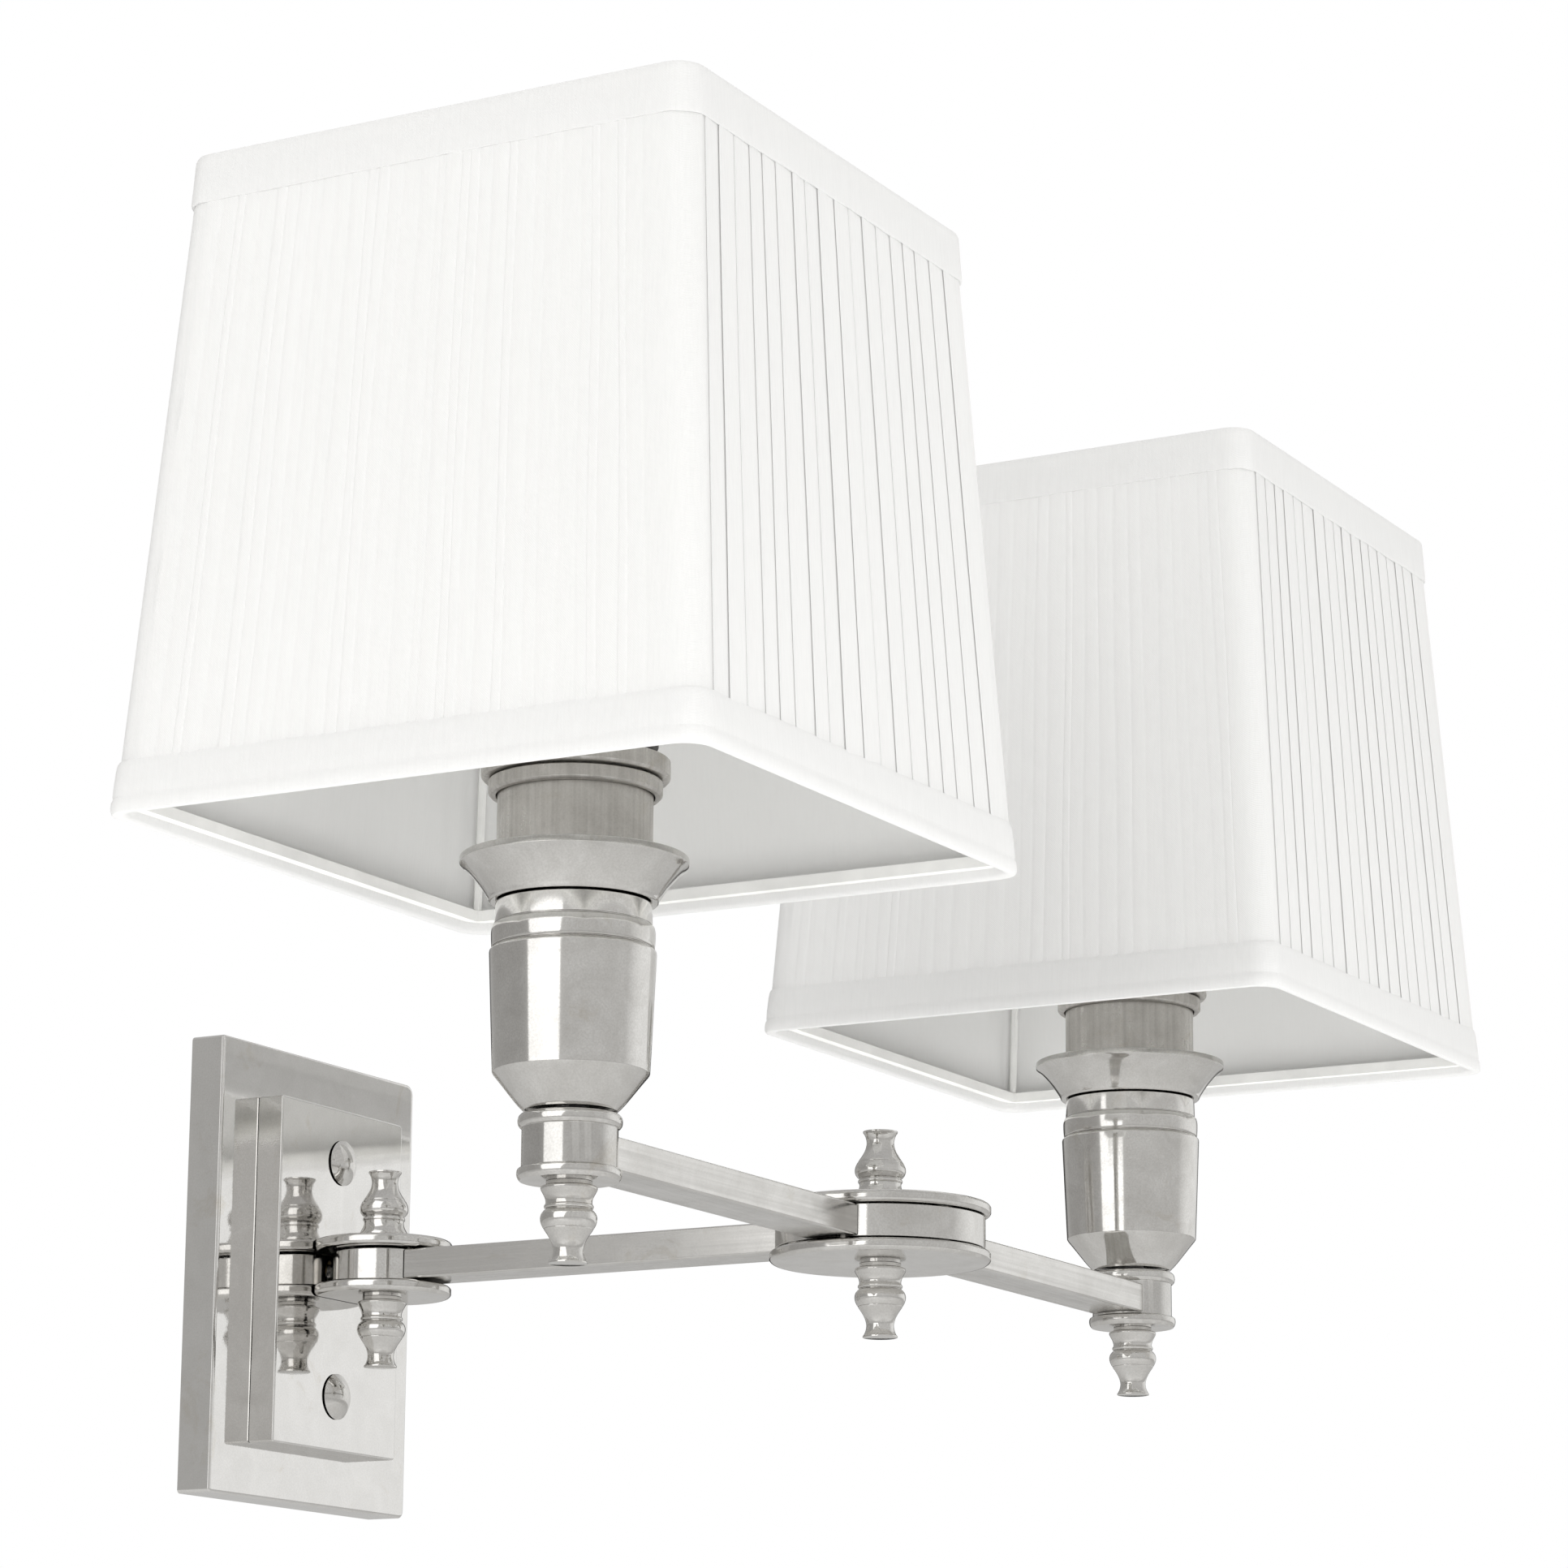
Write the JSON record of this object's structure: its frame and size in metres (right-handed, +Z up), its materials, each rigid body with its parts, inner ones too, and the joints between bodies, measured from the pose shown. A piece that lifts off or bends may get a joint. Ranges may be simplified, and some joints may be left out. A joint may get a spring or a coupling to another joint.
{
  "type": "swing arm wall sconce",
  "caption": "Wall light with a turned metal swing arm, a pivoting crossbar and square pleated shades on candle-style cups.",
  "frame": {"origin": "centre of the mounting strap's back face, on the wall", "axes": "+Z up, +Y into the wall, +X along the crossbar; the lamp reaches out along -Y"},
  "size_m": [0.363, 0.2061, 0.2302],
  "materials": {
    "nickel": "polished nickel, slightly hazed",
    "satin_nickel": "satin nickel",
    "zinc_steel": "zinc plated steel",
    "brass": "plain brass",
    "black_plastic": "moulded, matte",
    "white_plastic": "moulded, half gloss",
    "lead_sheath": "silicone-sheathed lead",
    "white_wire": "white coated steel wire",
    "pleated_cloth": "white pleated cloth, lined"
  },
  "bodies": {
    "wall_mount": {"wall_plate": "nickel", "raised_block": "nickel", "mounting_bracket": "zinc_steel", "cap_screw_upper": "nickel", "cap_screw_lower": "nickel", "terminal_block": "white_plastic", "earth_screw": "brass", "lead_in": "lead_sheath", "wall_disc_upper": "nickel", "wall_disc_lower": "nickel", "wall_pivot_rod": "zinc_steel", "wall_finial_top": "nickel", "wall_finial_bottom": "nickel"},
    "swing_arm": {"wall_boss": "nickel", "wall_arm": "nickel", "arm_eye": "nickel", "arm_lead": "lead_sheath"},
    "crossbar": {"middle_disc_upper": "nickel", "middle_disc_lower": "nickel", "middle_drum": "nickel", "middle_pivot_rod": "zinc_steel", "middle_finial_top": "nickel", "middle_finial_bottom": "nickel", "crossbar_left": "nickel", "crossbar_lead_left": "lead_sheath", "lamp_drum_left": "nickel", "lamp_rod_left": "zinc_steel", "lamp_finial_left": "nickel", "lamp_cup_left": "nickel", "drip_pan_left": "nickel", "holder_shell_left": "satin_nickel", "holder_insert_left": "black_plastic", "shade_ring_lower_left": "satin_nickel", "shade_ring_upper_left": "satin_nickel", "shade_nut_left": "black_plastic", "shade_frame_left": "white_wire", "shade_left": "pleated_cloth", "crossbar_right": "nickel", "crossbar_lead_right": "lead_sheath", "lamp_drum_right": "nickel", "lamp_rod_right": "zinc_steel", "lamp_finial_right": "nickel", "lamp_cup_right": "nickel", "drip_pan_right": "nickel", "holder_shell_right": "satin_nickel", "holder_insert_right": "black_plastic", "shade_ring_lower_right": "satin_nickel", "shade_ring_upper_right": "satin_nickel", "shade_nut_right": "black_plastic", "shade_frame_right": "white_wire", "shade_right": "pleated_cloth"}
  },
  "joints": [
    {"name": "wall_swing", "type": "hinge", "parent": "wall_mount", "child": "swing_arm", "pos_m": [0, -0.0252, 0.0015], "axis": [0, 0, 1], "range_deg": [-80, 80]},
    {"name": "crossbar_swing", "type": "hinge", "parent": "swing_arm", "child": "crossbar", "pos_m": [0, -0.1446, 0.0015], "axis": [0, 0, 1], "range_deg": [-10, 10]}
  ]
}
